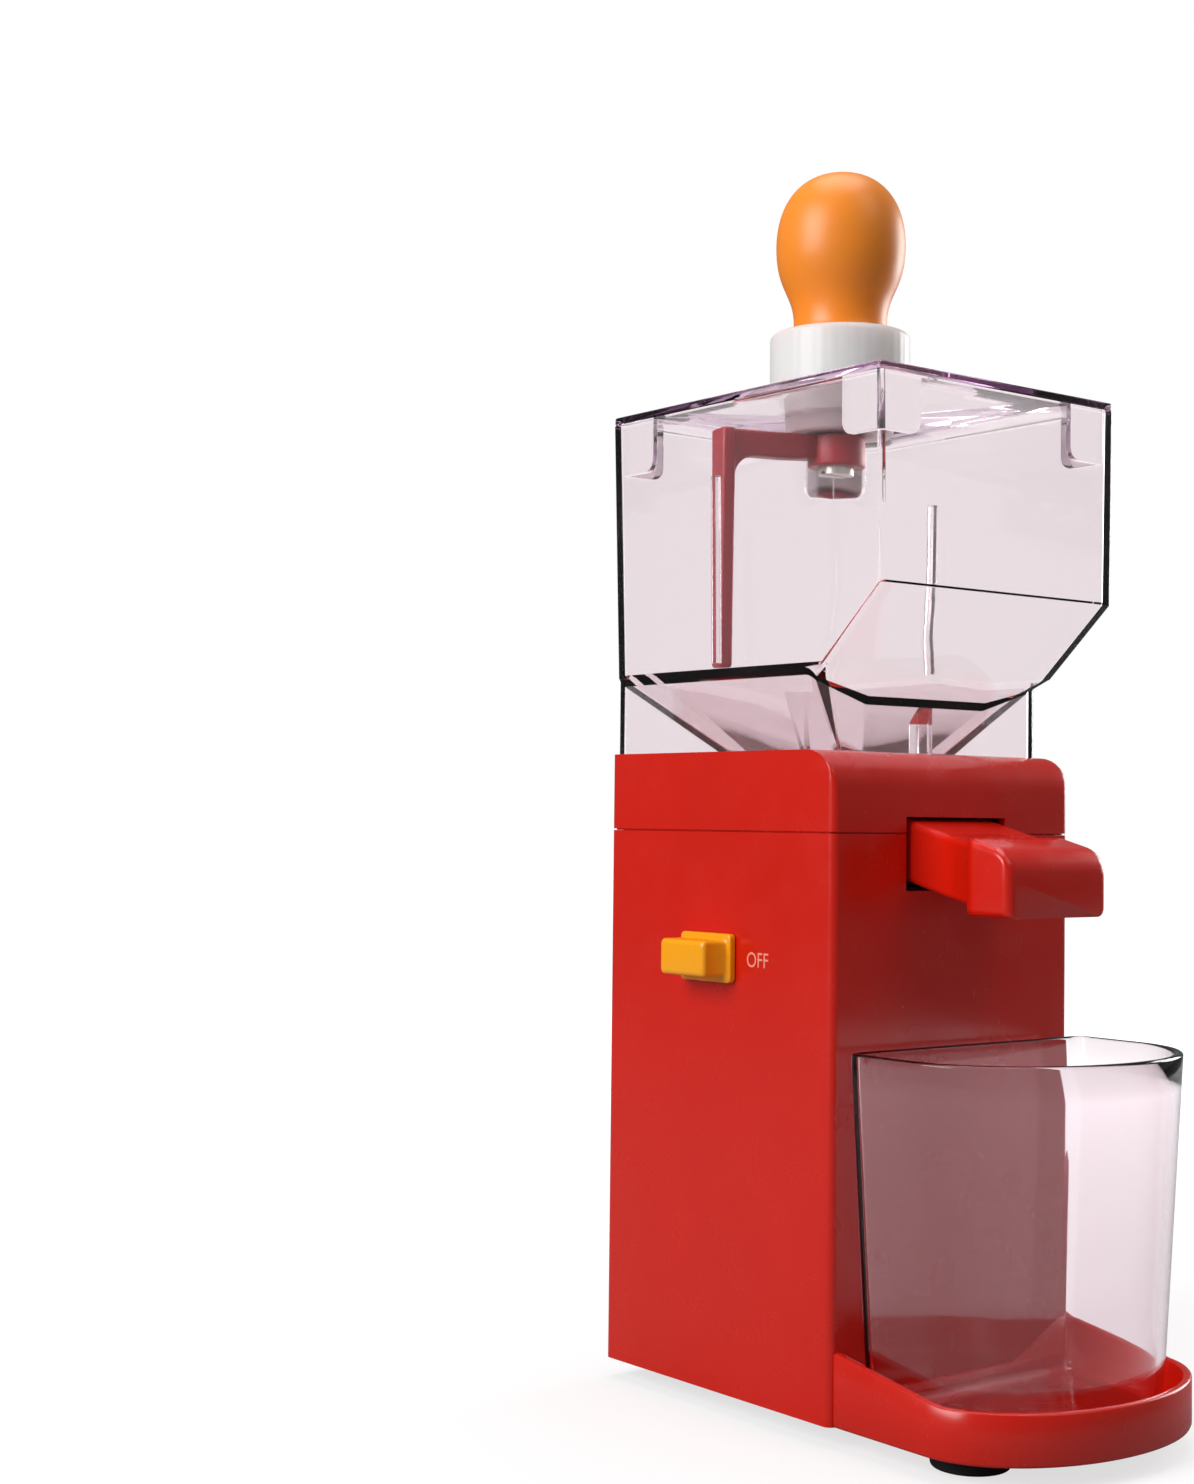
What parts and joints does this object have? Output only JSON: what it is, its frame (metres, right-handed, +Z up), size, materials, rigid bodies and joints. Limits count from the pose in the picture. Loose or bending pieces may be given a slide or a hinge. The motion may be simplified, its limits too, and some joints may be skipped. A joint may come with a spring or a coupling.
{
  "type": "nut butter grinder",
  "caption": "Tall countertop nut butter grinder: a geared motor turns a cone burr under a clear hopper with a hand stirrer, and butter leaves a sloping spout into a D-shaped cup on a tray.",
  "frame": {"origin": "on the plane that the feet stand on, below the upright axis shared by the motor, the burrs and the stirrer", "axes": "+Z up; -Y to the front, where the spout, the cup and the tray are; +X to the right as seen from behind, so the switch is on the -X side"},
  "size_m": [0.1111, 0.173, 0.3805],
  "materials": {
    "red_case": "glossy moulded red plastic of the case",
    "red_tray": "glossy moulded red plastic of the drip tray",
    "red_spout": "glossy moulded red plastic of the spout",
    "stirrer_red": "satin dark red food grade plastic",
    "clear_hopper": "clear transparent plastic of the hopper with a faint mauve cast at its edges",
    "clear_lid": "clear transparent plastic of the lid",
    "clear_cup": "clear transparent plastic of the cup with a faint mauve cast",
    "orange_knob": "glossy moulded orange plastic",
    "white_collar": "warm white moulded plastic",
    "yellow_switch": "glossy golden yellow plastic",
    "bare_plastic": "black glass filled plastic",
    "grey_plastic": "grey glass filled nylon",
    "natural_acetal": "off-white acetal",
    "foot_rubber": "matte black rubber",
    "silicone": "translucent grey silicone",
    "zinc_screws": "zinc plated steel",
    "shaft_steel": "ground steel",
    "burr_steel": "hardened stainless steel with ground teeth",
    "lamination": "varnished electrical steel laminations",
    "copper_wire": "enamelled copper wire",
    "contact_brass": "bright brass",
    "graphite": "pressed carbon graphite",
    "bearing_bronze": "sintered bronze",
    "die_cast": "die cast aluminium"
  },
  "bodies": {
    "casing": {"body_shell": "red_case", "top_collar": "red_case", "base_plate": "bare_plastic", "base_screws": "zinc_screws", "collar_screws": "zinc_screws", "rubber_feet": "foot_rubber", "cord_gland": "bare_plastic", "drip_tray": "red_tray", "tray_screws": "zinc_screws", "switch_housing": "bare_plastic", "switch_contacts": "contact_brass", "switch_screws": "zinc_screws", "deck_plate": "bare_plastic", "gearbox_case": "grey_plastic", "gearbox_cover": "grey_plastic", "gearbox_screws": "zinc_screws", "idler_pin": "shaft_steel", "output_bearing": "bearing_bronze", "motor_stator": "lamination", "field_coils": "copper_wire", "carbon_brushes": "graphite", "brush_holders": "bare_plastic", "motor_bearings": "bearing_bronze", "lower_bracket": "die_cast", "motor_bolts": "zinc_screws", "grinder_housing": "bare_plastic", "housing_screws": "zinc_screws", "shaft_seal": "silicone", "ring_burr": "burr_steel", "spout": "red_spout", "spout_gasket": "silicone", "spout_screws": "zinc_screws", "hopper_gasket": "silicone"},
    "hopper_part": {"hopper": "clear_hopper"},
    "lid_part": {"lid": "clear_lid", "lid_collar": "white_collar", "knob_bush": "natural_acetal"},
    "stirrer": {"stirring_knob": "orange_knob", "stirrer_shaft": "shaft_steel", "stirrer_arm": "stirrer_red", "hub_screw": "zinc_screws"},
    "cup": {"butter_cup": "clear_cup"},
    "switch_key": {"switch_slider": "yellow_switch", "contact_bridge": "contact_brass"},
    "motor_rotor": {"motor_shaft": "shaft_steel", "armature_core": "lamination", "armature_windings": "copper_wire", "commutator": "contact_brass", "motor_fan": "grey_plastic", "motor_pinion": "shaft_steel"},
    "idler": {"idler_gear": "natural_acetal"},
    "burr_rotor": {"grinder_shaft": "shaft_steel", "output_gear": "natural_acetal", "butter_wiper": "natural_acetal", "cone_burr": "burr_steel", "nut_breaker": "natural_acetal", "burr_nut": "zinc_screws"}
  },
  "joints": [
    {"name": "hopper_lift", "type": "slide", "parent": "casing", "child": "hopper_part", "axis": [0, 0, 1], "range_m": [0, 0.06]},
    {"name": "lid_lift", "type": "slide", "parent": "hopper_part", "child": "lid_part", "axis": [0, 0, 1], "range_m": [0, 0.09]},
    {"name": "stirrer_turn", "type": "hinge", "parent": "lid_part", "child": "stirrer", "pos_m": [0, 0, 0.35], "axis": [0, 0, 1], "continuous": true},
    {"name": "cup_lift", "type": "slide", "parent": "casing", "child": "cup", "axis": [0, 0, 1], "range_m": [0, 0.035]},
    {"name": "switch_slide", "type": "slide", "parent": "casing", "child": "switch_key", "axis": [0, 1, 0], "range_m": [0, 0.007]},
    {"name": "motor_spin", "type": "hinge", "parent": "casing", "child": "motor_rotor", "pos_m": [0, 0, 0.08], "axis": [0, 0, 1], "continuous": true},
    {"name": "idler_spin", "type": "hinge", "parent": "casing", "child": "idler", "pos_m": [0.0208, 0, 0.139], "axis": [0, 0, 1], "continuous": true},
    {"name": "burr_spin", "type": "hinge", "parent": "casing", "child": "burr_rotor", "pos_m": [0, 0, 0.165], "axis": [0, 0, 1], "continuous": true}
  ],
  "couplings": [
    {"joint": "idler_spin", "follows": "motor_spin", "ratio": -0.3},
    {"joint": "burr_spin", "follows": "motor_spin", "ratio": 0.11053}
  ]
}
